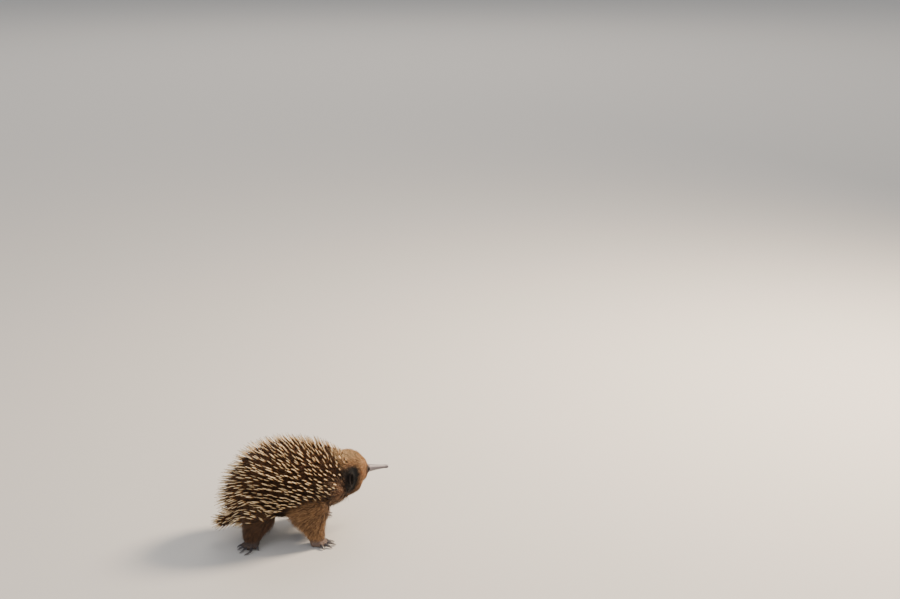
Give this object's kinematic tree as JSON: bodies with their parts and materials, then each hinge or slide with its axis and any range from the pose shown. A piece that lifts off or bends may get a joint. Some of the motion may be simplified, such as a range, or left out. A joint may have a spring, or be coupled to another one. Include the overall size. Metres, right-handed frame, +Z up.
{
  "type": "short-beaked echidna model",
  "caption": "Standing life-size echidna: rounded body under backward-lying spines, slender beak, clawed feet.",
  "frame": {"origin": "on the floor, under the middle of the animal's box", "axes": "+X towards the nose, +Y towards the animal's left, +Z up"},
  "size_m": [0.3866, 0.2074, 0.2214],
  "materials": {
    "coat": "dark brown fur under cream spines with dark tips",
    "face_fur": "short golden-brown fur",
    "leg_fur": "brown fur, soft",
    "beak_skin": "bare grey skin, satin",
    "claw": "dark horn, satin",
    "eye": "wet dark brown"
  },
  "bodies": {
    "root": {"torso": "coat", "neck": "coat", "tail": "coat", "head": "face_fur", "ear_right": "face_fur", "ear_left": "face_fur", "beak": "beak_skin", "eye_right": "eye", "eye_left": "eye", "foreleg_right": "leg_fur", "foreleg_left": "leg_fur", "hindleg_right": "leg_fur", "hindleg_left": "leg_fur", "foreclaw_right_1": "claw", "foreclaw_right_2": "claw", "foreclaw_right_3": "claw", "foreclaw_right_4": "claw", "foreclaw_right_5": "claw", "foreclaw_left_1": "claw", "foreclaw_left_2": "claw", "foreclaw_left_3": "claw", "foreclaw_left_4": "claw", "foreclaw_left_5": "claw", "hindclaw_right_1": "claw", "hindclaw_right_2": "claw", "hindclaw_right_3": "claw", "hindclaw_right_4": "claw", "hindclaw_right_5": "claw", "hindclaw_left_1": "claw", "hindclaw_left_2": "claw", "hindclaw_left_3": "claw", "hindclaw_left_4": "claw", "hindclaw_left_5": "claw"}
  },
  "joints": []
}
